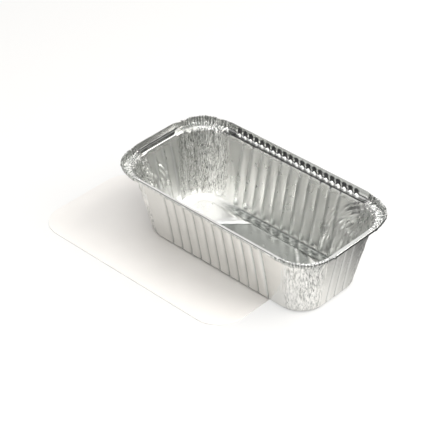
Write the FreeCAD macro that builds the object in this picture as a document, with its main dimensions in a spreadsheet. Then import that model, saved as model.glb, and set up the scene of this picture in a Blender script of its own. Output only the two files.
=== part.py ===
import FreeCAD, Part
import Sketcher
import math
import os
from collections import namedtuple

# A pressed aluminium-foil food tray that stands on its own board lid.
# Millimetres, +Z up. The origin is under the middle of the whole, on the table.

# Sizes: name, value in millimetres (or a count), what it is
SIZES = [
    ("opening_length", 184.9, "between the ledge's inner edges, along X"),
    ("opening_width", 89.2, "between the ledge's inner edges, along Y"),
    ("opening_corner", 23.0, "corner radius of the opening"),
    ("wall_lean", 10.55, "how far the walls lean out from the foot to the ledge"),
    ("base_corner", 20.5, "corner radius at the foot"),
    ("ledge_height", 55.7, "ledge above the tray's underside"),
    ("ledge_width", 5.0, "flat ledge that the lid seats on"),
    ("upstand_height", 5.1, "upstand above the ledge"),
    ("upstand_flare", 1.8, "how far the upstand leans outwards"),
    ("hem_height", 2.3, "rolled hem along the upstand's top"),
    ("hem_thickness", 0.9, "rolled hem, across"),
    ("foil", 0.3, "wall thickness"),
    ("foot_bend", 1.6, "bend between floor and wall"),
    ("rim_bend", 0.9, "bend between wall and ledge"),
    ("long_crease_count", 11, "creases in each long wall"),
    ("long_crease_margin", 8.6, "plain foot between the creased part and a corner, long walls"),
    ("long_crease_depth", 1.3, "how far a crease goes into a long wall"),
    ("short_crease_count", 3, "creases in each short wall"),
    ("short_crease_margin", 0.05, "plain foot between the creased part and a corner, short walls"),
    ("short_crease_depth", 0.9, "how far a crease goes into a short wall"),
    ("crease_fade", 4.0, "height over which creases and pleats fade out"),
    ("pleat_count", 12, "gathers in each corner"),
    ("pleat_depth", 1.3, "deepest gather of a corner wall"),
    ("rim_pleat_depth", 0.9, "deepest gather of a corner's rim"),
    ("corner_drop", 0.5, "corner rim below the straight hem"),
    ("corner_flare", 1.4, "how far a corner's rim is drawn out, at the corner's middle"),
    ("gusset_count", 21, "small gussets along each long ledge"),
    ("gusset_margin", 8.55, "plain ledge between the gussets and a corner"),
    ("gusset_depth", 1.2, "how far a gusset cuts the ledge's bend"),
    ("panel_inset", 8.0, "from the foot to the raised floor panel"),
    ("panel_corner", 11.0, "corner radius of the raised floor panel"),
    ("panel_rise", 0.5, "floor panel above the foot"),
    ("panel_slope", 0.8, "width of the floor panel's edge"),
    ("end_panel_rise", 0.8, "end panels above the floor panel"),
    ("end_panel_slope", 1.4, "width of the end panels' edge"),
    ("end_panel_gap", 1.2, "from the floor panel's edge to an end panel"),
    ("valley_top", 21.5, "half length of the middle valley at its sides"),
    ("valley_middle", 48.0, "half length of the middle valley at its middle"),
    ("valley_slope_top", 10.0, "width of the valley's slope at its sides"),
    ("lid_length", 194.5, "board lid, along X"),
    ("lid_width", 98.5, "board lid, along Y"),
    ("lid_corner", 23.0, "corner radius of the board lid"),
    ("lid_thickness", 0.6, "board lid"),
    ("lid_shift_x", -49.0, "middle of the lid from the middle of the tray"),
    ("lid_shift_y", -35.5, "middle of the lid from the middle of the tray"),
]

QUARTERS = 4
RIGHT_ANGLE = math.pi / 2
SEW_TOLERANCE = 0.001
FLATNESS = 1e-7
BULGE_CHORDS = 4
# The gathers differ in depth: shares of the deepest, repeated round the rim
PLEAT_SHARES = (1.0, 0.55, 0.85, 0.4, 0.95, 0.7, 0.5)

# One level of the tray: a closed outline at one height.
# out: from the opening's outline; lift, drop: height changes; flare: outwards at a corner's middle
Level = namedtuple("Level", "out height radius crease pleat lift flare drop")

doc = FreeCAD.newDocument("foil_container")
sheet = doc.addObject("Spreadsheet::Sheet", "sizes")
for row, (alias, value, note) in enumerate(SIZES, start=1):
    sheet.set(f"A{row}", note)
    sheet.set(f"B{row}", str(value))
    sheet.setAlias(f"B{row}", alias)
doc.recompute()


def size(alias):
    """Value of one cell of the sheet, as a plain number."""
    return float(sheet.get(alias))


def count(alias):
    """Value of one cell that counts things."""
    return int(round(size(alias)))


# Places that follow from the sizes
half_length = size("opening_length") / 2
half_width = size("opening_width") / 2
foil = size("foil")
base_half_length = half_length - size("wall_lean")
base_half_width = half_width - size("wall_lean")

# The tray's middle, so that the middle of tray and lid together is over the origin
RIM_REACH = "sizes.ledge_width + sizes.upstand_flare + sizes.hem_thickness"
TRAY_X = f"-(sizes.opening_length / 2 + {RIM_REACH} + sizes.lid_shift_x - sizes.lid_length / 2) / 2"
TRAY_Y = f"-(sizes.opening_width / 2 + {RIM_REACH} + sizes.lid_shift_y - sizes.lid_width / 2) / 2"


def turned(quarter, outward, along, height):
    """Point of one side, given as outward and along, turned to that side's place."""
    if quarter == 0:
        return FreeCAD.Vector(outward, along, height)
    if quarter == 1:
        return FreeCAD.Vector(-along, outward, height)
    if quarter == 2:
        return FreeCAD.Vector(-outward, -along, height)
    return FreeCAD.Vector(along, -outward, height)


def wall_marks(prefix, half_run):
    """Stations of one straight wall, as place and share of the crease's depth.

    The wall bulges from crease to crease, and a parabola in a few chords gives the bulge."""
    creases = count(prefix + "_crease_count")
    foot = base_half_width if prefix == "short" else base_half_length
    pitch = 2 * (foot - size("base_corner") - size(prefix + "_crease_margin")) / creases
    first = -(creases - 1) / 2 * pitch
    marks = [(-half_run, 0), (first - pitch / 2, 0)]
    for i in range((creases - 1) * BULGE_CHORDS + 1):
        share = 2 * (i % BULGE_CHORDS) / BULGE_CHORDS - 1
        marks.append((first + i * pitch / BULGE_CHORDS, share**2))
    marks.append((-first + pitch / 2, 0))
    return marks


def rim_marks(prefix, half_run):
    """Stations of one straight run of the rim: gussets on the long sides, none on the short."""
    marks = [(-half_run, 0)]
    if prefix == "short":
        return marks
    gussets = count("gusset_count")
    pitch = 2 * (half_length - size("opening_corner") - size("gusset_margin")) / gussets
    first = -gussets / 2 * pitch
    for i in range(2 * gussets + 1):
        marks.append((first + i * pitch / 2, i % 2))
    return marks


def loop(points):
    """Closed list of straight edges through points."""
    return [Part.LineSegment(a, b).toShape() for a, b in zip(points, points[1:] + points[:1])]


def outline(level, marks_of):
    """Closed list of edges round the tray at one level."""
    stations = []
    pleats = count("pleat_count")
    for quarter in range(QUARTERS):
        short = quarter % 2 == 0
        prefix = "short" if short else "long"
        reach = (half_length if short else half_width) + level.out
        half_run = (half_width if short else half_length) + level.out - level.radius
        depth = level.crease[0 if short else 1]
        for place, dent in marks_of(prefix, half_run):
            stations.append(turned(quarter, reach - depth * dent, place, level.height + level.lift * dent))
        for k in range(2 * pleats):
            angle = RIGHT_ANGLE * k / (2 * pleats)
            share = PLEAT_SHARES[(k // 2 + quarter) % len(PLEAT_SHARES)] * (k % 2)
            flare = level.flare * math.sin(2 * angle) ** 2
            lower = level.drop if k > 0 else 0
            radius = level.radius + flare - level.pleat * share
            outward = reach - level.radius + radius * math.cos(angle)
            along = half_run + radius * math.sin(angle)
            stations.append(turned(quarter, outward, along, level.height - lower))
    return loop(stations)


def web(lower, upper):
    """Faces between two edges: ruled if they are curved, flat if that fits, else folded in two."""
    if not all(isinstance(edge.Curve, Part.Line) for edge in (lower, upper)):
        return [Part.makeRuledSurface(lower, upper)]
    a, b = (vertex.Point for vertex in lower.Vertexes)
    d, c = (vertex.Point for vertex in upper.Vertexes)
    normal = (b - a).cross(d - a)
    if abs(normal.dot(c - a)) < FLATNESS * normal.Length:
        return [Part.Face(Part.makePolygon([a, b, c, d, a]))]
    if (c - a).Length < (d - b).Length:
        halves = [[a, b, c, a], [a, c, d, a]]
    else:
        halves = [[a, b, d, a], [b, c, d, b]]
    return [Part.Face(Part.makePolygon(half)) for half in halves]


def band(lower, upper):
    """Faces between two outlines that have the same stations."""
    faces = []
    for a, b in zip(lower, upper):
        faces += web(a, b)
    return faces


def bands(outlines):
    """Faces through a list of outlines."""
    faces = []
    for lower, upper in zip(outlines, outlines[1:]):
        faces += band(lower, upper)
    return faces


def flat_face(outer, *holes):
    """Flat face inside one outline and outside the others, all at one height."""
    wires = [Part.Wire(edges) for edges in (outer,) + holes]
    return Part.makeFace(wires, "Part::FaceMakerBullseye")


def wall_out(height):
    """How far the wall's inner face lies outside the opening's outline at a height."""
    return -size("wall_lean") * (1 - height / size("ledge_height"))


def wall_radius(height):
    """Corner radius of the wall's inner face at a height."""
    share = height / size("ledge_height")
    return size("base_corner") + (size("opening_corner") - size("base_corner")) * share


def wall_level(height, skin, share):
    """Level of a wall face; skin is 0 inside and the foil's thickness outside."""
    creases = (size("short_crease_depth") * share, size("long_crease_depth") * share)
    pleat = size("pleat_depth") * share
    return Level(wall_out(height) + skin, height, wall_radius(height) + skin, creases, pleat, 0, 0, 0)


def wall_outlines(skin):
    """Outlines of one face of the walls, from the floor's edge to the flat ledge."""
    inside = foil - skin
    foot = size("foot_bend")
    floor_edge = wall_level(inside, skin, 0)
    floor_edge = floor_edge._replace(out=floor_edge.out - foot, radius=floor_edge.radius - foot)
    ledge = size("ledge_height") - skin
    bend = size("rim_bend")
    fade = size("crease_fade")
    levels = [
        floor_edge,
        wall_level(inside + foot, skin, 0),
        wall_level(inside + foot + fade, skin, 1),
        wall_level(ledge - bend - fade, skin, 1),
        wall_level(ledge - bend, skin, 0),
        Level(bend, ledge, size("opening_corner") + bend, (0, 0), 0, 0, 0, 0),
    ]
    return [outline(level, wall_marks) for level in levels]


def rim_level(out, rise, gusset, gather, drop):
    """Level of the rim; gusset, gather and drop are shares of the sheet's sizes."""
    return Level(
        out,
        size("ledge_height") + rise,
        size("opening_corner") + out,
        (0, size("gusset_depth") * gusset),
        size("rim_pleat_depth") * gather,
        size("gusset_depth") * gusset,
        size("corner_flare") * gather,
        size("corner_drop") * drop,
    )


def rim_outlines():
    """Outlines of the rim: along the ledge, up the upstand, round the hem and back below."""
    start = 2 * size("rim_bend")
    bend = size("ledge_width")
    hem_foot = size("upstand_height") - size("hem_height")
    hem_foot_out = bend + size("upstand_flare") * hem_foot / size("upstand_height")
    top_out = bend + size("upstand_flare")
    hem = size("hem_thickness")
    levels = [
        rim_level(start, 0, 0, 0, 0),
        rim_level(bend, 0, 1, 1, 0),
        rim_level(hem_foot_out, hem_foot, 0, 1, 1 / 2),
        rim_level(top_out, size("upstand_height"), 0, 1, 1),
        rim_level(top_out + hem, size("upstand_height"), 0, 1, 1),
        rim_level(hem_foot_out + hem, hem_foot, 0, 1, 1 / 2),
        rim_level(hem_foot_out + foil, hem_foot, 0, 1, 1 / 2),
        rim_level(bend + foil, -foil, 1, 1, 0),
        rim_level(start, -foil, 0, 0, 0),
    ]
    return [outline(level, rim_marks) for level in levels]


def rounded_rectangle(half_x, half_y, radius, height):
    """Closed list of edges of a rectangle with round corners: four lines and four arcs."""
    edges = []
    for quarter in range(QUARTERS):
        reach, side = (half_x, half_y) if quarter % 2 == 0 else (half_y, half_x)
        run = side - radius
        bow = radius * math.sin(RIGHT_ANGLE / 2)
        start = turned(quarter, reach, -run, height)
        tangent = turned(quarter, reach, run, height)
        middle = turned(quarter, reach - radius + bow, run + bow, height)
        end = turned(quarter, reach - radius, side, height)
        edges.append(Part.LineSegment(start, tangent).toShape())
        edges.append(Part.Arc(tangent, middle, end).toShape())
    return edges


def end_panel(side, inset, slope_share, height):
    """Outline of one raised end panel of the floor, cut back in a V at the middle valley."""
    margin = size("panel_inset") + size("panel_slope") + size("end_panel_gap") + inset
    half_x = base_half_length - margin
    half_y = base_half_width - margin
    cut = size("panel_corner") / 2
    near_x = size("valley_top") + size("valley_slope_top") * slope_share
    middle_x = size("valley_middle") + size("end_panel_slope") * slope_share
    upper = [(near_x, half_y), (half_x - cut, half_y), (half_x, half_y - cut)]
    lower = [(x, -y) for x, y in reversed(upper)]
    return loop([FreeCAD.Vector(side * x, y, height) for x, y in [(middle_x, 0)] + upper + lower])


def floor_faces(edge, height):
    """Faces of one side of the floor, with its raised panel and the two end panels."""
    half_x = base_half_length - size("panel_inset")
    half_y = base_half_width - size("panel_inset")
    corner = size("panel_corner")
    slope = size("panel_slope")
    panel_height = height + size("panel_rise")
    end_height = panel_height + size("end_panel_rise")
    foot = rounded_rectangle(half_x, half_y, corner, height)
    crest = rounded_rectangle(half_x - slope, half_y - slope, corner - slope, panel_height)
    faces = [flat_face(edge, foot)] + band(foot, crest)
    holes = []
    for side in (-1, 1):
        low = end_panel(side, 0, 0, panel_height)
        high = end_panel(side, size("end_panel_slope"), 1, end_height)
        holes.append(low)
        faces += band(low, high)
        faces.append(flat_face(high))
    faces.append(flat_face(crest, *holes))
    return faces


def tray_shape():
    """The tray: one sheet of foil with ribbed walls, gathered corners and a hemmed rim."""
    inner = wall_outlines(0)
    outer = wall_outlines(foil)
    rim = rim_outlines()
    faces = floor_faces(inner[0], foil) + floor_faces(outer[0], 0)
    faces += bands(inner) + bands(outer) + bands(rim)
    faces += [flat_face(rim[0], inner[-1]), flat_face(rim[-1], outer[-1])]
    sewn = Part.makeCompound(faces)
    sewn.sewShape(SEW_TOLERANCE)
    return Part.Solid(sewn.Shells[0])


def add_tray():
    """The tray stands on the lid, off its middle."""
    tray = doc.addObject("Part::Feature", "foil_tray")
    tray.Label = "foil_tray"
    tray.Shape = tray_shape()
    tray.setExpression("Placement.Base.x", TRAY_X)
    tray.setExpression("Placement.Base.y", TRAY_Y)
    tray.setExpression("Placement.Base.z", "sizes.lid_thickness")
    return tray


def add_lid():
    """The lid: a flat board with round corners that lies under the tray."""
    body = doc.addObject("PartDesign::Body", "board_lid")
    body.Label = "board_lid"
    plane = next(item for item in body.Origin.OriginFeatures if item.Role == "XY_Plane")
    sketch = body.newObject("Sketcher::SketchObject", "lid_outline")
    sketch.AttachmentSupport = [(plane, "")]
    sketch.MapMode = "FlatFace"
    half_x = size("lid_length") / 2
    half_y = size("lid_width") / 2
    corners = [(-half_x, -half_y), (half_x, -half_y), (half_x, half_y), (-half_x, half_y)]
    points = [FreeCAD.Vector(x, y, 0) for x, y in corners]
    for i, point in enumerate(points):
        sketch.addGeometry(Part.LineSegment(point, points[(i + 1) % QUARTERS]), False)
    for i in range(QUARTERS):
        sketch.addConstraint(Sketcher.Constraint("Coincident", i, 2, (i + 1) % QUARTERS, 1))
        sketch.addConstraint(Sketcher.Constraint("Horizontal" if i % 2 == 0 else "Vertical", i))
    sketch.addConstraint(Sketcher.Constraint("Symmetric", 0, 1, 1, 2, -1, 1))
    length = sketch.addConstraint(Sketcher.Constraint("DistanceX", 0, 1, 0, 2, size("lid_length")))
    width = sketch.addConstraint(Sketcher.Constraint("DistanceY", 1, 1, 1, 2, size("lid_width")))
    sketch.setExpression(f"Constraints[{length}]", "sizes.lid_length")
    sketch.setExpression(f"Constraints[{width}]", "sizes.lid_width")
    pad = body.newObject("PartDesign::Pad", "lid_board")
    pad.Profile = sketch
    pad.Length = size("lid_thickness")
    pad.setExpression("Length", "sizes.lid_thickness")
    doc.recompute()
    upright = [
        f"Edge{i}"
        for i, edge in enumerate(pad.Shape.Edges, start=1)
        if abs(edge.Vertexes[0].Z - edge.Vertexes[1].Z) > size("lid_thickness") / 2
    ]
    rounding = body.newObject("PartDesign::Fillet", "lid_corners")
    rounding.Base = (pad, upright)
    rounding.Radius = size("lid_corner")
    rounding.setExpression("Radius", "sizes.lid_corner")
    body.Tip = rounding
    body.setExpression("Placement.Base.x", f"{TRAY_X} + sizes.lid_shift_x")
    body.setExpression("Placement.Base.y", f"{TRAY_Y} + sizes.lid_shift_y")
    return body


parts = [add_tray(), add_lid()]
doc.recompute()

for item in doc.Objects:
    if {"Invalid", "Error"} & set(item.State):
        raise RuntimeError(f"{item.Label} is {item.State}")
for item in parts:
    if item.Shape.isNull() or not item.Shape.isValid():
        raise RuntimeError(f"{item.Label} has no valid shape")

os.makedirs("parts", exist_ok=True)
for item in parts:
    item.Shape.exportStep(f"parts/{item.Label}.step")
    print(item.Label, len(item.Shape.Faces), "faces", round(item.Shape.Volume, 1), "mm3", item.Shape.BoundBox)
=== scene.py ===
import logging
import math
from dataclasses import dataclass, field
from enum import Enum

import bpy
import numpy as np
from mathutils import Matrix, Vector


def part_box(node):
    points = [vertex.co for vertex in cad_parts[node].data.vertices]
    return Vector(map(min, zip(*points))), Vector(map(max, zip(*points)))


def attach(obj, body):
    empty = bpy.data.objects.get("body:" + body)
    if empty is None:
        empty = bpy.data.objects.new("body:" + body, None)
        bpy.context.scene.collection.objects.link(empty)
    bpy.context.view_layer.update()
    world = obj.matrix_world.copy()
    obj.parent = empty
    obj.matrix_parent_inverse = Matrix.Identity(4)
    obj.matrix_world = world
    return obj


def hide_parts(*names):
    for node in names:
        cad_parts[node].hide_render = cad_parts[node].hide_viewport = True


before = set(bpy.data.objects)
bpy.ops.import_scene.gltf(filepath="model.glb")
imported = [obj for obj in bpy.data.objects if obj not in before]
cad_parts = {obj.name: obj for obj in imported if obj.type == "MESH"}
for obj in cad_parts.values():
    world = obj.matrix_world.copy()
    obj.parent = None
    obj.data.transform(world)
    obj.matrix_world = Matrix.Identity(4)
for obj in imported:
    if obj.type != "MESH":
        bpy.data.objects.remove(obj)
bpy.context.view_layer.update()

log = logging.getLogger("foil_container")

MM = 0.001
IMAGE_SIDE = 439
SENSOR = 36.0
BODY = "root"
WHITE = (1.0, 1.0, 1.0, 1.0)

Socket = bpy.types.NodeSocket
Three = tuple[float, float, float]
Four = tuple[float, float, float, float]


def clear_selection() -> None:
    """Leaves edit mode and selects nothing."""
    if bpy.context.object and bpy.context.object.mode != "OBJECT":
        bpy.ops.object.mode_set(mode="OBJECT")
    bpy.ops.object.select_all(action="DESELECT")


def choose(piece: bpy.types.Object) -> None:
    """Makes a piece the only selected and active one.

    Args:
        piece: the object to select.
    """
    clear_selection()
    piece.select_set(True)
    bpy.context.view_layer.objects.active = piece


def places_of(mesh: bpy.types.Mesh) -> np.ndarray:
    """Reads a mesh's points.

    Args:
        mesh: the mesh to read.

    Returns:
        One row of x, y, z for each point.
    """
    flat = np.zeros(len(mesh.vertices) * 3)
    mesh.vertices.foreach_get("co", flat)
    return flat.reshape(-1, 3)


def move_points(mesh: bpy.types.Mesh, places: np.ndarray) -> None:
    """Puts a mesh's points at new places.

    Args:
        mesh: the mesh to change.
        places: one row of x, y, z for each point.
    """
    mesh.vertices.foreach_set("co", places.ravel())
    mesh.update()


def ramp(value: np.ndarray, low: float | np.ndarray, high: float | np.ndarray) -> np.ndarray:
    """Smooth step from 0 at low to 1 at high; low may be above high.

    Args:
        value: where to read the step.
        low: value at which the step starts.
        high: value at which it ends.

    Returns:
        The step's height, from 0 to 1.
    """
    share = np.clip((value - low) / (high - low), 0, 1)
    return share * share * (3 - 2 * share)


def gate(value: np.ndarray, start: float, full: float, past: float, end: float) -> np.ndarray:
    """Smooth band that rises from start to full and falls from past to end.

    Args:
        value: where to read the band.
        start: value at which it starts to rise.
        full: value from which it is 1.
        past: value up to which it is 1.
        end: value at which it is 0 again.

    Returns:
        The band's height, from 0 to 1.
    """
    return ramp(value, start, full) * ramp(value, end, past)


def bell(value: np.ndarray, middle: float, width: float | np.ndarray) -> np.ndarray:
    """Smooth hump of height 1.

    Args:
        value: where to read the hump.
        middle: value at its top.
        width: distance from its top at which it is 0.37 high.

    Returns:
        The hump's height, from 0 to 1.
    """
    return np.exp(-(((value - middle) / width) ** 2))


def off_beat(place: np.ndarray, pitch: float) -> np.ndarray:
    """Distance from the nearest multiple of a pitch.

    Args:
        place: where to read it.
        pitch: distance between the beats.

    Returns:
        From -0.5 to 0.5, in pitches.
    """
    return place / pitch - np.round(place / pitch)


class Seed(Enum):
    """Seeds of the noises, so that every run draws the same."""

    CRINKLES = 11
    SWELL = 23
    DENTS = 31
    # noise of the painted shade at the floor's edge
    BLOTS = 47
    DASHES = 53


@dataclass
class Crumple:
    """Seeded smooth noise over a sheet, the same on every run."""

    seed: Seed
    cells: int = 256
    lattice: np.ndarray = field(init=False)

    def __post_init__(self) -> None:
        """Draws the random heights of the lattice."""
        self.lattice = np.random.default_rng(self.seed.value).uniform(-1, 1, (self.cells, self.cells))

    def at(self, u: np.ndarray | float, v: np.ndarray | float) -> np.ndarray:
        """Reads the noise.

        Args:
            u: place across, in cells.
            v: place up, in cells.

        Returns:
            Values from -1 to 1.
        """
        u, v = np.broadcast_arrays(u, v)
        column, row = np.floor(u).astype(int), np.floor(v).astype(int)
        fu, fv = u - column, v - row
        fu, fv = fu * fu * (3 - 2 * fu), fv * fv * (3 - 2 * fv)

        def knot(i: int, j: int) -> np.ndarray:
            """Height at one corner of each cell."""
            return self.lattice[(column + i) % self.cells, (row + j) % self.cells]

        low = knot(0, 0) * (1 - fu) + knot(1, 0) * fu
        high = knot(0, 1) * (1 - fu) + knot(1, 1) * fu
        return low * (1 - fv) + high * fv


@dataclass(frozen=True)
class Grain:
    """A noise pattern and the bump that it raises.

    Scale is in repeats for each metre along x, y and z, and height in metres."""

    scale: Three
    octaves: float
    rough: float = 0.5
    height: float = 0.0
    strength: float = 0.0


class Nodes:
    """A small helper that lays out the nodes of one tree."""

    def __init__(self, tree: bpy.types.NodeTree) -> None:
        """Takes the tree to fill."""
        self.tree = tree

    def add(self, kind: str, **values: object) -> bpy.types.Node:
        """Adds a node and sets its properties.

        Args:
            kind: the node's type, such as ShaderNodeTexNoise.
            values: properties of the node by name.

        Returns:
            The new node.
        """
        node = self.tree.nodes.new(kind)
        for name, value in values.items():
            setattr(node, name, value)
        return node

    def link(self, start: Socket, end: Socket) -> None:
        """Joins two sockets."""
        self.tree.links.new(start, end)

    def feed(self, entry: Socket, value: Socket | float | Four) -> None:
        """Joins a socket to another one, or sets it to a constant.

        Args:
            entry: the socket that is fed.
            value: the other socket or the constant.
        """
        if isinstance(value, bpy.types.NodeSocket):
            self.link(value, entry)
        else:
            entry.default_value = value

    def work_out(self, operation: str, *values: Socket | float) -> Socket:
        """Works out one number.

        Args:
            operation: what is done, as the Math node names it.
            values: the sockets or numbers that it is done to.

        Returns:
            The result.
        """
        node = self.add("ShaderNodeMath", operation=operation)
        for entry, value in zip(node.inputs, values):
            self.feed(entry, value)
        return node.outputs["Value"]

    def remap(self, value: Socket, reach: tuple[float, float], low: float, high: float,
              curve: str = "LINEAR") -> Socket:
        """Maps a reach of values to low..high.

        Args:
            value: the value to map.
            reach: values that become low and high.
            low: result at the reach's start.
            high: result at its end.
            curve: how it goes from one to the other.

        Returns:
            The mapped value.
        """
        mapped = self.add("ShaderNodeMapRange", interpolation_type=curve)
        for name, number in zip(("From Min", "From Max", "To Min", "To Max"), (*reach, low, high)):
            mapped.inputs[name].default_value = number
        self.link(value, mapped.inputs["Value"])
        return mapped.outputs["Result"]

    def either(self, share: Socket, first: Socket, second: Socket) -> Socket:
        """Mixes two shaders.

        Args:
            share: how much of the second shows.
            first: shader at a share of 0.
            second: shader at a share of 1.

        Returns:
            The mixed shader.
        """
        mixed = self.add("ShaderNodeMixShader")
        for entry, value in zip(mixed.inputs, (share, first, second)):
            self.link(value, entry)
        return mixed.outputs["Shader"]

    def backdrop(self, strength: Socket | float) -> Socket:
        """White light of the room.

        Args:
            strength: how bright it is.

        Returns:
            The background's shader.
        """
        light = self.add("ShaderNodeBackground")
        light.inputs["Color"].default_value = WHITE
        self.feed(light.inputs["Strength"], strength)
        return light.outputs["Background"]


class FinishNodes(Nodes):
    """The nodes of one material."""

    usual_noise: tuple[float, float] = (0.3, 0.7)

    def __init__(self, name: str) -> None:
        """Starts an empty material with a Principled shader.

        Args:
            name: the material's name.
        """
        self.material = bpy.data.materials.new(name)
        self.material.use_nodes = True
        super().__init__(self.material.node_tree)
        self.shader = self.tree.nodes["Principled BSDF"]
        self.output = self.tree.nodes["Material Output"]

    def mark(self, name: str) -> Socket:
        """Reads one of the marks stored on the mesh."""
        return self.add("ShaderNodeAttribute", attribute_name=name).outputs["Fac"]

    def coordinates(self, scale: Three) -> Socket:
        """Object coordinates, stretched.

        Args:
            scale: repeats for each metre along x, y and z.

        Returns:
            The stretched coordinates.
        """
        source = self.add("ShaderNodeTexCoord")
        mapping = self.add("ShaderNodeMapping")
        mapping.inputs["Scale"].default_value = scale
        self.link(source.outputs["Object"], mapping.inputs["Vector"])
        return mapping.outputs["Vector"]

    def noise(self, grain: Grain) -> Socket:
        """Noise over the piece.

        Args:
            grain: the pattern.

        Returns:
            The noise's value, about 0.5.
        """
        texture = self.add("ShaderNodeTexNoise")
        texture.inputs["Scale"].default_value = 1.0
        texture.inputs["Detail"].default_value = grain.octaves
        texture.inputs["Roughness"].default_value = grain.rough
        self.link(self.coordinates(grain.scale), texture.inputs["Vector"])
        return texture.outputs["Fac"]

    def bump(self, height: Socket, grain: Grain, before: Socket | None = None) -> Socket:
        """Bump from a height map.

        Args:
            height: the height map.
            grain: the pattern, for the height of a full step and its strength.
            before: normal of an earlier bump.

        Returns:
            The new normal.
        """
        node = self.add("ShaderNodeBump")
        node.inputs["Strength"].default_value = grain.strength
        node.inputs["Distance"].default_value = grain.height
        self.link(height, node.inputs["Height"])
        if before:
            self.link(before, node.inputs["Normal"])
        return node.outputs["Normal"]

    def tone(self, value: Socket, dark: Three, light: Three) -> Socket:
        """Colour between two tones.

        Args:
            value: noise about 0.5.
            dark: colour where the noise is low.
            light: colour where it is high.

        Returns:
            The colour.
        """
        stops = self.add("ShaderNodeValToRGB")
        for stop, position, colour in zip(stops.color_ramp.elements, self.usual_noise, (dark, light)):
            stop.position = position
            stop.color = (*colour, 1)
        self.link(value, stops.inputs["Fac"])
        return stops.outputs["Color"]

    def cover(self, share: Socket, under: Socket, over: Four, way: str = "MIX") -> Socket:
        """Lays one colour over another.

        Args:
            share: how much of it shows.
            under: the colour below.
            over: the colour laid over it.
            way: how the two mix.

        Returns:
            The mixed colour.
        """
        mixed = self.add("ShaderNodeMix", data_type="RGBA", blend_type=way)
        for name, value in (("Factor", share), ("A", under), ("B", over)):
            self.feed(mixed.inputs[name], value)
        return mixed.outputs["Result"]

    def glow(self, colour: Four) -> Socket:
        """Light of its own.

        Args:
            colour: the light's colour.

        Returns:
            The glowing shader.
        """
        light = self.add("ShaderNodeEmission")
        light.inputs["Color"].default_value = colour
        return light.outputs["Emission"]


@dataclass(frozen=True)
class FoilFinish:
    """Bright rolled aluminium foil, finely crumpled where it is gathered, darkened there and at its other
    marks by painted shade, with painted highlights.
    """

    dark: Three = (0.76, 0.76, 0.74)
    light: Three = (0.83, 0.83, 0.81)
    # painted shade: the colour that creases, grooves, crimps and crumples are darkened towards
    painted_shade: Four = (0.3, 0.32, 0.31, 1)
    # painted highlight: the colour that crease lines, bar ridges, the floor's left end and outer corners are
    # lightened towards
    painted_highlight: Four = (0.97, 0.97, 0.96, 1)
    polished: float = 0.09
    dull: float = 0.18
    floor_haze: float = 0.15
    fold_shade: float = 0.92
    fold_depths: tuple[float, float] = (0.47, 0.36)
    tint: Grain = Grain((60, 60, 60), 3)
    clouds: Grain = Grain((90, 90, 90), 4)
    dents: Grain = Grain((90, 90, 90), 2, height=0.0002, strength=0.2)
    drawn: Grain = Grain((1100, 1100, 40), 2, height=0.00008, strength=0.5)
    rolled: Grain = Grain((60, 2200, 2200), 2, height=0.00003, strength=0.4)
    folds: Grain = Grain((900, 900, 180), 3, 0.6, height=0.0013, strength=1.0)

    def material(self) -> bpy.types.Material:
        """Builds the foil's material, which reads the marks of FoilMarks and paints shade and highlights
        into its colour from them.

        Returns:
            The material.
        """
        nodes = FinishNodes("rolled_foil")
        shader = nodes.shader
        shader.inputs["Metallic"].default_value = 1.0
        folds, gathered = nodes.noise(self.folds), nodes.mark("gather")

        tone = nodes.tone(nodes.noise(self.tint), self.dark, self.light)
        # painted highlights laid over the foil's own tone
        highlit_tone = nodes.cover(nodes.mark("painted_highlight_mark"), tone, self.painted_highlight)
        # painted shade between the crumples of the gathered corners, and wherever the shade mark lies
        between = nodes.remap(folds, self.fold_depths, 0, self.fold_shade)
        share = nodes.work_out("MAXIMUM", nodes.work_out("MULTIPLY", between, gathered), nodes.mark("shade"))
        nodes.link(nodes.cover(share, highlit_tone, self.painted_shade, "MULTIPLY"), shader.inputs["Base Color"])

        cloudy = nodes.remap(nodes.noise(self.clouds), nodes.usual_noise, self.polished, self.dull)
        hazy = nodes.work_out("MULTIPLY_ADD", nodes.mark("floor"), self.floor_haze, cloudy)
        nodes.link(hazy, shader.inputs["Roughness"])

        normal = None
        for grain in (self.dents, self.drawn, self.rolled):
            normal = nodes.bump(nodes.noise(grain), grain, normal)
        crumpled = nodes.bump(nodes.work_out("MULTIPLY", folds, gathered), self.folds, normal)
        nodes.link(crumpled, shader.inputs["Normal"])
        return nodes.material


@dataclass(frozen=True)
class BoardFinish:
    """Uncoated warm white board with faint fibres."""

    dark: Three = (0.875, 0.85, 0.82)
    light: Three = (0.91, 0.885, 0.855)
    specular: float = 0.25
    smooth: float = 0.5
    matt: float = 0.7
    tint: Grain = Grain((25, 25, 25), 4)
    clouds: Grain = Grain((400, 400, 400), 3)
    fibres: Grain = Grain((700, 2400, 1500), 3, 0.6, height=0.00004, strength=0.4)
    waves: Grain = Grain((60, 60, 60), 2, height=0.0002, strength=0.3)

    def material(self) -> bpy.types.Material:
        """Builds the board's material.

        Returns:
            The material.
        """
        nodes = FinishNodes("white_board")
        shader = nodes.shader
        shader.inputs["Specular IOR Level"].default_value = self.specular
        nodes.link(nodes.tone(nodes.noise(self.tint), self.dark, self.light), shader.inputs["Base Color"])
        roughness = nodes.remap(nodes.noise(self.clouds), nodes.usual_noise, self.smooth, self.matt)
        nodes.link(roughness, shader.inputs["Roughness"])
        fibres = nodes.bump(nodes.noise(self.fibres), self.fibres)
        nodes.link(nodes.bump(nodes.noise(self.waves), self.waves, fibres), shader.inputs["Normal"])
        return nodes.material


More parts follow.
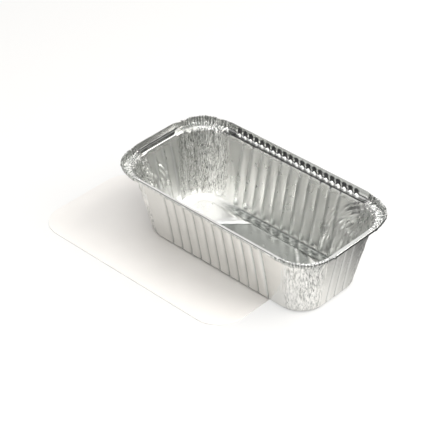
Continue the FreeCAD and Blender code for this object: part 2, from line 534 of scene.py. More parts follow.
@dataclass(frozen=True)
class TableFinish:
    """White table that keeps the shadow and shows white to the camera; reflections of it show a painted
    white glow near the tray and, farther out, a painted dark glow that stands in for a darker room.
    """

    shade: Four = (0.82, 0.81, 0.79, 1)
    shown: Four = WHITE
    rough: float = 0.9
    share: float = 0.55
    white_middle: Three = (-0.03, -0.09, 0.0)
    white_reach: tuple[float, float] = (0.165, 0.235)
    # painted reflection: share of white glow that reflections of the table show
    mirrored: float = 0.3
    # painted reflection: dark glow that reflections show beyond the white reach
    far: Four = (0.12, 0.12, 0.12, 1)

    def material(self) -> bpy.types.Material:
        """Builds the table's material.

        Returns:
            The material.
        """
        nodes = FinishNodes("white_table")
        nodes.shader.inputs["Base Color"].default_value = self.shade
        nodes.shader.inputs["Roughness"].default_value = self.rough
        nodes.shader.inputs["Specular IOR Level"].default_value = 0.0
        path = nodes.add("ShaderNodeLightPath")
        camera, glossy = path.outputs["Is Camera Ray"], path.outputs["Is Glossy Ray"]
        shown = nodes.work_out("MULTIPLY", camera, self.share)
        # painted reflection: white glow for reflected rays
        white = nodes.work_out("MULTIPLY_ADD", glossy, self.mirrored, shown)
        seen = nodes.either(white, nodes.shader.outputs["BSDF"], nodes.glow(self.shown))

        length = nodes.add("ShaderNodeVectorMath", operation="DISTANCE")
        length.inputs[1].default_value = self.white_middle
        nodes.link(nodes.coordinates((1, 1, 1)), length.inputs[0])
        reach = nodes.remap(length.outputs["Value"], self.white_reach, 0, 1)
        # painted reflection: dark glow for reflected rays far from the tray
        mix = nodes.either(nodes.work_out("MULTIPLY", reach, glossy), seen, nodes.glow(self.far))
        nodes.link(mix, nodes.output.inputs["Surface"])
        return nodes.material


@dataclass(frozen=True)
class WallPlan:
    """Columns and creases of one kind of wall. Lengths are in millimetres."""

    columns: int
    fine_columns: int
    fine_reach: float
    pitch: float
    depth: float
    each_way: int

    @property
    def creased(self) -> float:
        """Half the length that the creases take up."""
        return (self.each_way + 0.5) * self.pitch


class Wall(Enum):
    """The two kinds of wall."""

    SHORT = WallPlan(50, 26, 12.0, 9.0, 1.3, 1)
    LONG = WallPlan(176, 132, 52.8, 9.6, 1.8, 5)


@dataclass(frozen=True)
class PuckerPlan:
    """Curved puckers between the creases and the corners. Lengths are in millimetres.

    Each wall end has its own share. The puckers are rings about a point below the ledge and
    past the corner's start."""

    shares: tuple[float, ...] = (0.1, 0.25, 1.6, 0.3, 0.1, 1.0, 0.25, 0.2)
    reach: float = 32.0
    middle_below: float = 35.0
    middle_out: float = 8.0
    pitch: float = 3.4
    ring_band: Four = (6, 9, 31, 36)
    depth_band: Four = (1, 5, 38, 50)
    start: tuple[float, float] = (-7, -1)


@dataclass(frozen=True)
class Row:
    """One ring of the sheet, in millimetres from the opening's outline and the tray's underside.

    The rest are shares: how far it takes part in the wall's creases, in the corner's gathers,
    in their lift, in the gussets and in the hem's slack."""

    out: float
    height: float
    wall: float = 0.0
    rim: float = 0.0
    lift: float = 0.0
    gusset: float = 0.0
    slack: float = 0.0


# Rings of the ledge, the upstand and the rolled hem: how far out and how far above the ledge,
# then the shares of rim, lift, gusset and slack.
RIM_RINGS = (
    (0.35, -0.07, 0.2, 0.25, 0.0, 0.0),
    (0.75, -0.1, 0.35, 0.5, 0.0, 0.0),
    (1.3, -0.13, 0.5, 0.8, 0.0, 0.0),
    (2.3, -0.18, 0.8, 1.0, 0.0, 0.0),
    (3.3, -0.23, 1.0, 1.0, 0.35, 0.0),
    (4.2, -0.28, 1.0, 1.0, 0.8, 0.0),
    (4.85, -0.05, 1.0, 0.8, 1.0, 0.0),
    (5.2, 0.62, 1.0, 0.3, 1.0, 0.1),
    (5.5, 1.5, 1.0, 0.0, 0.75, 0.3),
    (5.85, 2.5, 1.0, 0.0, 0.2, 0.55),
    (6.2, 3.5, 1.0, 0.0, 0.0, 0.8),
    (6.5, 4.5, 1.0, 0.0, 0.0, 1.0),
    (6.62, 4.88, 1.0, 0.0, 0.0, 1.0),
    (6.8, 4.97, 1.0, 0.0, 0.0, 1.0),
    (7.2, 4.95, 1.0, 0.0, 0.0, 1.0),
    (7.4, 4.8, 1.0, 0.0, 0.0, 1.0),
    (7.5, 4.5, 1.0, 0.0, 0.0, 1.0),
    (7.52, 3.6, 1.0, 0.0, 0.0, 1.0),
    (7.45, 2.85, 1.0, 0.0, 0.0, 1.0),
    (7.25, 2.6, 1.0, 0.0, 0.0, 1.0),
    (6.95, 2.6, 1.0, 0.0, 0.0, 1.0),
    (6.7, 3.1, 1.0, 0.0, 0.0, 1.0),
)

# Ways out and along for the four sides, from the near short side round.
OUTWARD = np.array([[1, 0], [0, 1], [-1, 0], [0, -1]], float)
FORWARD = np.array([[0, 1], [-1, 0], [0, -1], [1, 0]], float)


@dataclass
class PressedTray:
    """The tray: one sheet of foil pressed into ribbed walls, gathered corners and a hemmed rim.

    Lengths are in millimetres."""

    half_length: float = 92.45
    half_width: float = 44.6
    opening_radius: float = 23.0
    base_radius: float = 20.5
    wall_lean: float = 10.55
    ledge_height: float = 55.75
    floor_height: float = 0.2
    thickness: float = 0.14
    swell_depth: float = 0.1
    ripple_depth: float = 0.12
    slack_depth: float = 0.3
    slack_fall: float = 0.6
    corner_columns: int = 112
    corner_ease: float = 0.16
    corner_depth: float = 0.22
    corner_flare: float = 1.7
    corner_shift: float = 61.0
    gather_depths: Three = (1.5, 1.1, 0.4)
    crimp_pitch: float = 1.5
    gusset_pitch: float = 5.8
    gusset_reach: float = 60.9
    gusset_width: float = 1.45
    gusset_depth: float = 0.95
    gusset_rise: float = 0.35
    floor_columns: int = 140
    floor_rows: int = 54
    edge_cells: int = 10
    edge_reach: float = 3.2
    join_inset: float = 5.6
    panel_inset: float = 8.0
    panel_corner: float = 11.0
    panel_height: float = 0.5
    ridge_height: float = 0.22
    bar_height: float = 0.75
    step_height: float = 0.3
    wave_height: float = 0.015
    outer_bar: tuple[float, float] = (21.5, 26.5)
    inner_bar: tuple[float, float] = (31.5, 18.5)
    seam_out: float = 1.25
    # shares of painted shade along the corner's crinkle lines and in its rim's crimps
    fold_dark: float = 0.6
    crimp_dark: float = 0.9
    crease_angle: float = 42.0
    puckering: PuckerPlan = PuckerPlan()
    finish: FoilFinish = field(default_factory=FoilFinish)

    def __post_init__(self) -> None:
        """Works out the tray's place, the rings and the foil's finish, and draws the noise."""
        low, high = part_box("foil_tray")
        self.centre = np.array([(low.x + high.x) / 2, (low.y + high.y) / 2, low.z]) / MM
        self.rows = self.profile()
        self.ledge_run = self.half_length - self.opening_radius
        sides = Wall.LONG.value.columns + Wall.SHORT.value.columns
        self.columns = 2 * sides + 4 * self.corner_columns
        self.foil = self.finish.material()
        self.noise, self.wave = Crumple(Seed.CRINKLES), Crumple(Seed.SWELL)

    def profile(self) -> list[Row]:
        """Rings from the floor's edge, up the wall, over the ledge and round the hem.

        Returns:
            The rings in order.
        """
        lean, top = self.wall_lean, self.ledge_height
        rings = [Row(-lean - inset, self.floor_height) for inset in (self.join_inset, 4.2, 3.2, 2.6)]
        rings += [Row(-lean - 1.8, 0.32), Row(-lean - 1.05, 0.65), Row(-lean - 0.42, 1.25)]
        for height in np.concatenate([np.linspace(2.3, 20.0, 8)[:-1], np.linspace(20.0, top - 1.6, 25)]):
            fade = float(min(1, (height + 1.5) / 7.0, (top - 0.4 - height) / 1.6))
            rings.append(Row(-lean * (1 - height / top), float(height), wall=fade))
        rings += [Row(-0.12, top - 0.8, wall=0.1), Row(0.08, top - 0.28)]
        for out, above, rim, lift, gusset, slack in RIM_RINGS:
            rings.append(Row(out, top + above, 0.0, rim, lift, gusset, slack))
        return rings

    def radius_at(self, row: Row) -> float:
        """Corner radius of one ring.

        Args:
            row: the ring.

        Returns:
            The radius in millimetres.
        """
        if row.out <= -self.wall_lean:
            return self.base_radius + row.out + self.wall_lean
        if row.out < 0:
            share = 1 + row.out / self.wall_lean
            return self.base_radius + (self.opening_radius - self.base_radius) * share
        return self.opening_radius + row.out

    def tube(self, rings: np.ndarray, crimp_shade: np.ndarray) -> bpy.types.Object:
        """A part of the sheet: a tube of one ring for each row, pressed to its place.

        Args:
            rings: places of the points, ring by ring.
            crimp_shade: share of painted shade in the crimps and along the crinkle lines, at each point.

        Returns:
            The open sheet, in millimetres about the tray's middle.
        """
        clear_selection()
        bpy.ops.mesh.primitive_circle_add(vertices=self.columns, radius=1.0)
        sheet = bpy.context.object
        bpy.ops.object.mode_set(mode="EDIT")
        bpy.ops.mesh.select_all(action="SELECT")
        for _ in rings[1:]:
            bpy.ops.mesh.extrude_region_move(TRANSFORM_OT_translate={"value": (0, 0, 1)})
        bpy.ops.object.mode_set(mode="OBJECT")
        blank = places_of(sheet.data)
        level = np.round(blank[:, 2]).astype(int)
        turn = np.arctan2(blank[:, 1], blank[:, 0]) / (2 * math.pi) * self.columns
        column = np.round(turn).astype(int) % self.columns
        move_points(sheet.data, rings[level, column])
        # stores the painted shade of the crimps and crinkles on the points
        layer = sheet.data.attributes.new("crimp_shade", "FLOAT", "POINT")
        layer.data.foreach_set("value", crimp_shade[level, column].astype(np.float32))
        return sheet

    def straight_places(self, plan: WallPlan, run: float) -> np.ndarray:
        """Stations along one straight side, close together where it is creased.

        Args:
            plan: the wall's columns.
            run: half the straight length at this ring.

        Returns:
            Places along the side, without the last one, which is the corner's first.
        """
        reach = min(plan.fine_reach, run * 0.86)
        outer = (plan.columns - plan.fine_columns) // 2
        ends = np.linspace(reach, run, outer + 1)[1:]
        middle = np.linspace(-reach, reach, plan.fine_columns + 1)
        return np.concatenate([-ends[::-1], middle, ends])[:-1]

    def creases(self, plan: WallPlan, place: np.ndarray, below: float) -> np.ndarray:
        """Depth of the creases, which start as points a little below the ledge.

        Args:
            plan: the wall's creases.
            place: stations along the side.
            below: distance below the ledge.

        Returns:
            How far the wall goes in, in millimetres.
        """
        near = 1 - 2 * np.abs(off_beat(place, plan.pitch))
        sharp = float(np.clip((below - 1.2) / 8, 0, 1)) ** 0.8
        broad = 0.25 * float(np.clip(below / 30, 0, 1))
        return plan.depth * (np.abs(place) <= plan.creased) * (broad * near + sharp * near**5)

    def puckers(self, tangent: np.ndarray, below: float, end: int) -> np.ndarray:
        """Curved puckers between the creases and a corner.

        Args:
            tangent: distance from the corner's start towards the wall's middle.
            below: distance below the ledge.
            end: number of the wall's end, so that no two are alike.

        Returns:
            How far the wall goes in, in millimetres.
        """
        plan, noise = self.puckering, self.noise
        middle = plan.middle_below + 3 * math.sin(end * 2.1)
        along = tangent + plan.middle_out + 1.5 * noise.at(below / 9, tangent / 14 + end * 7.3)
        up = max(middle - below, 0) * 0.95
        ring = np.hypot(along, up)
        phase = ring / plan.pitch + 0.3 * noise.at(tangent / 6 + end * 3.7, below / 11)
        fold = np.clip(1 - 2.6 * np.abs(off_beat(phase, 1)), 0, 1) ** 1.4
        depth = 1.0 + 0.5 * noise.at(ring / 3 + end * 5.1, np.arctan2(up, along) * 3)
        band = gate(ring, *plan.ring_band) * ramp(tangent, *plan.start) * gate(below, *plan.depth_band)
        return plan.shares[end] * band * fold * depth

    def sway(self, arc: np.ndarray, below: float) -> np.ndarray:
        """Places round a corner, pushed to and fro so that its crinkles wander.

        Args:
            arc: distance round the corner.
            below: distance below the ledge.

        Returns:
            The pushed places.
        """
        return arc + 1.3 * self.noise.at(arc / 5, below / 9)

    def gathers(self, arc: np.ndarray, below: float) -> np.ndarray:
        """Fine upright crinkles of a corner wall.

        Args:
            arc: distance round the corner.
            below: distance below the ledge.

        Returns:
            How far the wall goes in, in millimetres.
        """
        sway, noise = self.sway(arc, below), self.noise
        broad = np.abs(noise.at(sway / 1.7, below / 17 + 11))
        narrow = np.abs(noise.at(sway / 0.85 + 31, below / 8 + 5))
        soft = noise.at(sway / 3.4 + 67, below / 14)
        strength = 0.65 + 0.35 * ramp(below, 48, 8)
        return strength * sum(depth * fold for depth, fold in zip(self.gather_depths, (broad, narrow, soft)))

    def spans(self, row: Row, quarter: int) -> tuple[float, float]:
        """Distance of one side from the tray's middle, and half its straight length.

        Args:
            row: the ring.
            quarter: number of the side.

        Returns:
            The two lengths.
        """
        halves = (self.half_width, self.half_length) if quarter % 2 else (self.half_length, self.half_width)
        return halves[0] + row.out, halves[1] + row.out - self.radius_at(row)

    def settle(self, quarter: int, out: np.ndarray, along: np.ndarray, height: np.ndarray) -> np.ndarray:
        """Turns places about one side into places about the tray's middle.

        Args:
            quarter: number of the side.
            out: distance from the middle.
            along: distance along the side.
            height: height above the tray's underside.

        Returns:
            One row of x, y, z for each place.
        """
        return np.column_stack([out[:, None] * OUTWARD[quarter] + along[:, None] * FORWARD[quarter], height])

    def side(self, row: Row, quarter: int) -> tuple[np.ndarray, np.ndarray]:
        """One ring along one straight side.

        Args:
            row: the ring.
            quarter: number of the side.

        Returns:
            Places of its points, and their shares of painted shade, which are none here.
        """
        plan = (Wall.LONG if quarter % 2 else Wall.SHORT).value
        reach, run = self.spans(row, quarter)
        place = self.straight_places(plan, run)
        tangent = run - np.abs(place)
        below = self.ledge_height - row.height
        depth, rise = np.zeros_like(place), np.zeros_like(place)
        if row.wall:
            depth += row.wall * self.creases(plan, place, below)
            for end in (-1, 1):
                chosen = (tangent < self.puckering.reach) & (np.sign(place) == end)
                depth[chosen] += row.wall * self.puckers(tangent[chosen], below, 2 * quarter + (end > 0))
            swell = self.wave.at(place / 13 + 40 * quarter, below / 16)
            depth += self.swell_depth * row.wall * (1 + swell)
        if row.gusset and quarter % 2:
            tooth = bell(off_beat(place, self.gusset_pitch) * self.gusset_pitch, 0, self.gusset_width)
            tooth *= row.gusset * (np.abs(place) < self.gusset_reach)
            depth += self.gusset_depth * tooth
            rise += self.gusset_rise * tooth * (1 if below > -1 else 0.2)
        if row.rim:
            ripple = self.wave.at(place / 9 + 60 * quarter, row.out / 3)
            depth += self.ripple_depth * row.rim * (1 + ripple)
        slack = row.slack * ramp(tangent, 1.4, 0.1)
        depth += self.slack_depth * slack
        rise -= self.slack_fall * slack
        return self.settle(quarter, reach - depth, place, row.height + rise), np.zeros_like(place)

    def corner(self, row: Row, quarter: int) -> tuple[np.ndarray, np.ndarray]:
        """One ring round the corner that follows a side.

        Args:
            row: the ring.
            quarter: number of the side.

        Returns:
            Places of its points, and their shares of painted shade along the crinkles and in the crimps.
        """
        noise, radius, below = self.noise, self.radius_at(row), self.ledge_height - row.height
        reach, run = self.spans(row, quarter)
        angles = np.linspace(0, math.pi / 2, self.corner_columns + 1)[:-1]
        full = gate(angles, 0, self.corner_ease, math.pi / 2 - self.corner_ease, math.pi / 2)
        arc = angles * self.opening_radius
        shifted = arc + self.corner_shift * quarter
        depth, rise, dark = np.zeros((3, len(arc)))
        if row.wall:
            depth += row.wall * (0.25 + 0.75 * full) * self.gathers(shifted, below)
            depth += row.wall * self.puckers(-arc, below, 2 * quarter + 1)
            depth += row.wall * self.puckers(arc - arc[-1], below, (2 * quarter + 2) % 8)
            depth += self.corner_depth * row.wall
            thin = np.abs(noise.at(self.sway(shifted, below) / 1.1 + 31, below / 8 + 5))
            # painted shade along the thin crinkle lines of the corner wall
            dark = self.fold_dark * full * row.wall * np.clip(1 - 5 * thin, 0, 1)
        phase = shifted / self.crimp_pitch + 0.6 * noise.at(shifted / 3.1, 3.5)
        zig = 2 * np.abs(phase - np.floor(phase) - 0.5) * 2 - 1
        zag = noise.at(shifted / 1.2, 20 + row.out / 1.3)
        if row.lift:
            rise += row.lift * (full * (0.35 * zig + 0.4 * zag) - 0.15)
        if row.rim:
            # painted shade in the valleys of the rim's crimps
            dark = self.crimp_dark * row.rim * full * np.clip(0.45 - 0.9 * zig - 0.6 * zag, 0, 1)
            bulge = 0.45 * (1 + zig) + 0.4 * (1 + zag)
            depth += row.rim * (0.1 + full * bulge * (0.4 + 0.4 * row.slack))
            depth -= self.corner_flare * ramp(row.out, 1.0, 5.0) * np.sin(2 * angles) ** 2
        if row.slack:
            ragged = noise.at(shifted / 2.2, 77.0)
            depth += self.slack_depth * row.slack * (1 + ragged) * full
            rise -= row.slack * (self.slack_fall + full * (0.25 * ragged + 0.3 * zag + 0.15 * zig))
        ray = radius - depth
        out, along = reach - radius + ray * np.cos(angles), run + ray * np.sin(angles)
        return self.settle(quarter, out, along, row.height + rise), dark

    def press(self) -> tuple[np.ndarray, np.ndarray]:
        """Works out the pressed shape of the walls and the rim.

        Returns:
            Places of the points, ring by ring, and their shares of painted shade.
        """
        rings = np.zeros((len(self.rows), self.columns, 3))
        crimp_shade = np.zeros((len(self.rows), self.columns))
        for level, row in enumerate(self.rows):
            stretches = [part(row, quarter) for quarter in range(4) for part in (self.side, self.corner)]
            rings[level] = np.concatenate([places for places, _ in stretches])
            crimp_shade[level] = np.concatenate([dark for _, dark in stretches])
        return rings, crimp_shade

    def beyond_bar(self, x: np.ndarray, y: np.ndarray, bar: tuple[float, float]) -> np.ndarray:
        """Distance beyond one of the slanting lines of the floor's end panels.

        Args:
            x: place along the tray from its middle.
            y: place across it.
            bar: the line's place along the tray at the panel's edge, and how much farther out
                it is in the middle.

        Returns:
            The distances, square to the line.
        """
        start, spread = bar
        base_y = self.half_width - self.wall_lean - self.panel_inset
        share = 1 - np.clip(np.abs(y) / base_y, 0, 1)
        return (np.abs(x) - start - spread * share) * math.cos(math.atan2(self.outer_bar[1], base_y))

    def emboss(self, x: np.ndarray, y: np.ndarray) -> np.ndarray:
        """Height of the floor's raised panels.

        Args:
            x: place along the tray from its middle.
            y: place across it.

        Returns:
            Heights above the floor's edge, in millimetres.
        """
        base_x = self.half_length - self.wall_lean - self.panel_inset
        base_y = self.half_width - self.wall_lean - self.panel_inset

        def inside(inset: float) -> np.ndarray:
            """Distance inside a rounded rectangle that lies inset from the panel's edge."""
            bend = self.panel_corner - inset
            dx = np.abs(x) - (base_x - inset - bend)
            dy = np.abs(y) - (base_y - inset - bend)
            outside = np.hypot(np.clip(dx, 0, None), np.clip(dy, 0, None))
            return bend - outside - np.minimum(np.maximum(dx, dy), 0)

        bar = ramp(self.beyond_bar(x, y, self.outer_bar), 0, 2.6)
        step = ramp(self.beyond_bar(x, y, self.inner_bar), -0.6, 0.8)
        end_area = ramp(inside(1.2), 0.0, 1.3)
        panel = self.panel_height * ramp(inside(0), 0, 0.9)
        ridge = self.ridge_height * bell(inside(1.3), 0, 0.35)
        return panel + end_area * (self.bar_height * bar + self.step_height * step) + ridge

    def crowd(self, place: np.ndarray, half: float, cells: int) -> np.ndarray:
        """Moves the grid's even stations so that some crowd at the panel's edge.

        Args:
            place: stations from -1 to 1.
            half: half the grid's length.
            cells: cells of the grid along this way.

        Returns:
            The stations in millimetres.
        """
        share = 1 - 2 * self.edge_cells / cells
        return np.sign(place) * np.interp(np.abs(place), [0, share, 1], [0, half - self.edge_reach, half])

    def floor_sheet(self) -> bpy.types.Object:
        """The middle of the floor: a grid rounded to the wall's first ring and embossed.

        Returns:
            The floor's sheet.
        """
        clear_selection()
        bpy.ops.mesh.primitive_grid_add(
            x_subdivisions=self.floor_columns, y_subdivisions=self.floor_rows, size=2.0
        )
        sheet = bpy.context.object
        inset = self.join_inset + 1.0
        half_x = self.half_length - self.wall_lean - inset
        half_y = self.half_width - self.wall_lean - inset
        corner = self.base_radius - inset
        square = places_of(sheet.data)
        x = self.crowd(square[:, 0], half_x, self.floor_columns)
        y = self.crowd(square[:, 1], half_y, self.floor_rows)
        s = np.clip((np.abs(x) - (half_x - corner)) / corner, 0, 1)
        t = np.clip((np.abs(y) - (half_y - corner)) / corner, 0, 1)
        both = (s > 0) & (t > 0)
        round_x = (half_x - corner) + corner * s * np.sqrt(1 - t * t / 2)
        round_y = (half_y - corner) + corner * t * np.sqrt(1 - s * s / 2)
        x = np.where(both, np.sign(x) * round_x, x)
        y = np.where(both, np.sign(y) * round_y, y)
        dents = Crumple(Seed.DENTS)
        edge = ramp(np.maximum(np.abs(x) - half_x, np.abs(y) - half_y), 0, -6)
        waves = self.wave_height * (1 + dents.at(x / 22 + 20, y / 16 + 20)) * edge
        move_points(sheet.data, np.stack([x, y, self.floor_height + self.emboss(x, y) + waves], axis=1))
        return sheet

    def join_floor(self, walls: bpy.types.Object, floor: bpy.types.Object) -> bpy.types.Object:
        """Joins the floor to the walls' lowest ring.

        Args:
            walls: the open sheet of the walls.
            floor: the sheet of the floor.

        Returns:
            One open sheet.
        """
        choose(walls)
        floor.select_set(True)
        bpy.ops.object.join()
        tray = bpy.context.object
        bpy.ops.object.mode_set(mode="EDIT")
        bpy.ops.mesh.select_mode(type="VERT")
        bpy.ops.mesh.select_non_manifold(
            extend=False, use_wire=False, use_boundary=True, use_multi_face=False,
            use_non_contiguous=False, use_verts=False,
        )
        bpy.ops.object.mode_set(mode="OBJECT")
        chosen = np.zeros(len(tray.data.vertices), bool)
        tray.data.vertices.foreach_get("select", chosen)
        low = places_of(tray.data)[:, 2] < self.ledge_height / 2
        tray.data.edges.foreach_set("select", np.zeros(len(tray.data.edges), bool))
        tray.data.polygons.foreach_set("select", np.zeros(len(tray.data.polygons), bool))
        tray.data.vertices.foreach_set("select", chosen & low)
        bpy.ops.object.mode_set(mode="EDIT")
        bpy.ops.mesh.select_mode(type="EDGE")
        bpy.ops.mesh.bridge_edge_loops()
        bpy.ops.object.mode_set(mode="OBJECT")
        return tray

    def skin(self, sheet: bpy.types.Object, name: str, flat: float) -> bpy.types.Object:
        """Gives an open sheet the foil's thickness and finish.

        Args:
            sheet: the open sheet, in millimetres about the tray's middle.
            name: the piece's name.
            flat: height of a level part, whose faces tell which side is up.

        Returns:
            The finished piece.
        """
        choose(sheet)
        sheet.name = sheet.data.name = name
        bpy.ops.object.mode_set(mode="EDIT")
        bpy.ops.mesh.select_all(action="SELECT")
        bpy.ops.mesh.normals_make_consistent(inside=False)
        bpy.ops.object.mode_set(mode="OBJECT")
        level = [face.normal.z for face in sheet.data.polygons if abs(face.center.z - flat) < 0.3]
        if sum(level) < 0:
            bpy.ops.object.mode_set(mode="EDIT")
            bpy.ops.mesh.select_all(action="SELECT")
            bpy.ops.mesh.flip_normals()
            bpy.ops.object.mode_set(mode="OBJECT")
        move_points(sheet.data, (places_of(sheet.data) + self.centre) * MM)
        wall = sheet.modifiers.new("foil", "SOLIDIFY")
        wall.thickness = self.thickness * MM
        wall.offset = -1
        bpy.ops.object.modifier_apply(modifier=wall.name)
        FoilMarks(self, sheet.data).store()
        bpy.ops.object.shade_smooth_by_angle(angle=math.radians(self.crease_angle))
        sheet.data.materials.clear()
        sheet.data.materials.append(self.foil)
        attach(sheet, BODY)
        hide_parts("foil_tray")
        log.info("%s: %d points, %d faces", name, len(sheet.data.vertices), len(sheet.data.polygons))
        return sheet

    def build(self) -> None:
        """Presses the sheet and finishes its two parts, which meet on the flat of the ledge."""
        rings, crimp_shade = self.press()
        seam = next(i for i, row in enumerate(self.rows) if row.out >= self.seam_out)
        walls = self.join_floor(self.tube(rings[: seam + 1], crimp_shade[: seam + 1]), self.floor_sheet())
        self.skin(walls, "pressed_tray", self.floor_height)
        self.skin(self.tube(rings[seam:], crimp_shade[seam:]), "hemmed_rim", self.ledge_height)


@dataclass(frozen=True)
class MarkShares:
    """How much painted shade or painted highlight each mark of the foil gets, from 0 to 1."""

    # shares of painted shade
    floor: float = 0.72
    terrace: float = 0.8
    foot: float = 0.9
    shaded_wall: float = 0.3
    groove: float = 0.85
    foot_shade: float = 0.8
    flank: float = 0.4
    hem: float = 0.85
    hem_end: float = 0.9
    far_hem: float = 0.4
    bend: float = 0.7
    # shares of painted highlight
    bright_wall: float = 0.55
    bright_corner: float = 0.9
    bright_floor: float = 0.7


class FoilMarks:
    """Marks of one finished piece of the sheet, which the foil's finish reads at each point.

    gather is where the foil is gathered, floor where it is hazy, shade its share of painted shade
    and painted_highlight_mark its share of painted highlight. Lengths are in millimetres."""

    def __init__(self, tray: PressedTray, mesh: bpy.types.Mesh) -> None:
        """Reads the points and works out where they lie.

        Args:
            tray: the tray, for its sizes.
            mesh: the finished mesh, whose first half of points is the inner face.
        """
        self.tray, self.mesh, self.shares = tray, mesh, MarkShares()
        self.x, self.y, self.z = (places_of(mesh) / MM - tray.centre).T
        self.above = self.z - tray.ledge_height
        self.inner = np.arange(len(self.x)) < len(self.x) // 2
        self.foot_x = tray.half_length - tray.wall_lean
        self.foot_y = tray.half_width - tray.wall_lean
        self.inset = np.minimum(self.foot_x - np.abs(self.x), self.foot_y - np.abs(self.y))
        self.floor_edge = ramp(self.inset, tray.panel_inset + 0.6, tray.panel_inset - 0.2)

    def gathered(self) -> tuple[np.ndarray, np.ndarray]:
        """Where the corners are gathered.

        Returns:
            The shares on their walls and on their ledge.
        """
        tray = self.tray
        fall = 1 - np.clip(self.z / tray.ledge_height, 0, 1)
        past_x = np.abs(self.x) - (tray.ledge_run - 7.9 * fall)
        past_y = np.abs(self.y) - (tray.half_width - tray.opening_radius - 8.0 * fall)
        beyond = np.minimum(past_x, past_y)
        middle = bell(np.degrees(np.arctan2(past_y, past_x)), 36, 15)
        far_end = (self.x < 0) & (self.above < -0.9)
        inside = ramp(beyond, np.where(far_end, -8.0, -1.5), np.where(far_end, -2.0, 3.0))
        outside = ramp(beyond, -0.8, 6.0)
        walls = np.where(self.inner, inside * (0.8 + 0.2 * middle), outside * (0.65 + 0.35 * middle))
        ledge = ramp(beyond, -0.6, 1.5) * ramp(self.above, -2, -0.5)
        return walls * ramp(self.z, 0.6, 4.0), ledge

    def haze(self, gathered: np.ndarray) -> np.ndarray:
        """Where the foil is hazy: on the floor, most at its edge, and on the inner walls.

        Args:
            gathered: share of gather on the corners' walls.

        Returns:
            The shares.
        """
        walls = (1.1 - 0.45 * gathered * (self.x < 0)) * self.inner * ramp(self.above, 0, -3.75)
        return np.maximum(ramp(self.z, 3.0, 1.2), walls) + 0.6 * self.floor_edge * (self.z < 1.4)

    def floor_tones(self) -> tuple[np.ndarray, np.ndarray]:
        """Painted shade and painted highlights of the floor: a darker right end and middle, dark and bright
        lines at its end panels' bars, dark lines along its edge and a brighter left end.

        Returns:
            The shares of painted shade and of painted highlight.
        """
        shares, x, z = self.shares, self.x, self.z
        bar = self.tray.beyond_bar(x, self.y, self.tray.outer_bar)
        # painted shade: uneven dark blotches along the floor's edge
        edge_shade_noise = Crumple(Seed.BLOTS).at(x / 1.7 + 60, self.y / 1.1 + 60)
        before_bar, dark_edge = ramp(bar, 0.2, -1.2), self.floor_edge * ramp(x, -64, -38)
        # painted shade over the floor's right end, its middle and its edge
        dark = ramp(z, 1.6, 0.9) * np.maximum.reduce([ramp(x, -24, 4), before_bar, dark_edge])
        dark *= shares.floor + self.floor_edge * (0.05 + 0.45 * edge_shade_noise)
        on_bar = (z < 1.8) * ramp(self.inset, 8.8, 10.0)
        # no painted shade on the bars' slopes
        dark *= 1 - on_bar * gate(bar, -0.2, 0.3, 1.4, 1.9)
        # painted shade: dark line at the foot of each bar
        bar_base_shade = on_bar * gate(bar, -2.4, -1.6, -0.5, 0.2)
        # painted shade over the bright reflection of the right bar's slope
        terrace = shares.terrace * on_bar * gate(bar, 1.3, 1.9, 8, 11) * (x > 0)
        # painted shade: dark lines along the wall's foot and the panel's edge
        foot, panel = bell(z, 0.65, 0.2) * (self.floor_edge > 0.5), bell(self.inset, 8.2, 0.3) * (z < 1.5)
        edges = shares.foot * np.maximum(foot, panel) * self.inner * ramp(x, -60, -30)
        # painted highlights: bright line on each bar, and the bright left end
        ridge = on_bar * gate(bar, 0.0, 0.3, 1.2, 1.7)
        bright_end = shares.bright_floor * ramp(z, 3.0, 1.2) * ramp(x, -10, -40)
        return np.maximum.reduce([dark, bar_base_shade, terrace, edges]), np.maximum(ridge, bright_end)

    def wall_tones(self, gathered: np.ndarray) -> tuple[np.ndarray, np.ndarray]:
        """Painted shade and painted highlights of the walls and their creases.

        Args:
            gathered: share of gather on the corners' walls.

        Returns:
            The shares of painted shade and of painted highlight.
        """
        shares, inner = self.shares, self.inner
        left = inner & (self.x < 1.0 - self.foot_x) & (self.z > 2)
        far = inner & (self.y > self.foot_y - 1.5) & (self.z > 2)
        near_end = ~inner & (self.x > self.foot_x - 1.0) & (self.above < -1)
        # painted shade on the inner left wall and on the near short wall's outside
        painted_shade = [shares.shaded_wall * left, shares.shaded_wall * near_end * ramp(self.y, -15, 30)]
        # painted highlights on the inner far wall and on the gathered corners
        painted_highlight = [shares.bright_wall * far, shares.bright_corner * gathered * (~inner | (self.x > 0))]
        for wall, along, across, foot in (
            (Wall.LONG, self.x, self.y, self.foot_y),
            (Wall.SHORT, self.y, self.x, self.foot_x),
        ):
            plan = wall.value
            creased = (np.abs(across) > foot - 1.5) & (np.abs(along) < plan.creased)
            creased = creased & (self.z > 1.8) & (self.above < -1.5)

            def beside(shift: float, width: float) -> np.ndarray:
                """Stripes of painted shade or painted highlight beside the creases, shifted by a share of
                the pitch.
                """
                return creased * bell(((along / plan.pitch + shift) % 1 - 0.5) * plan.pitch, 0, width)

            # painted shade in the outer grooves, at the creases' feet and beside their inner lines
            groove = creased * (1 - 2 * np.abs(off_beat(along, plan.pitch))) ** 7
            painted_shade += [
                shares.groove * groove * ~inner,
                shares.foot_shade * beside(0.3, 1.7) * ramp(self.z, 8.0, 2.5) * inner,
                shares.flank * beside(0.42, 0.8) * inner,
            ]
            # painted highlight lines beside the creases
            painted_highlight.append(np.where(inner, beside(0.57, 0.6), beside(0.42, 1.1)))
        return np.maximum.reduce(painted_shade), np.maximum.reduce(painted_highlight)

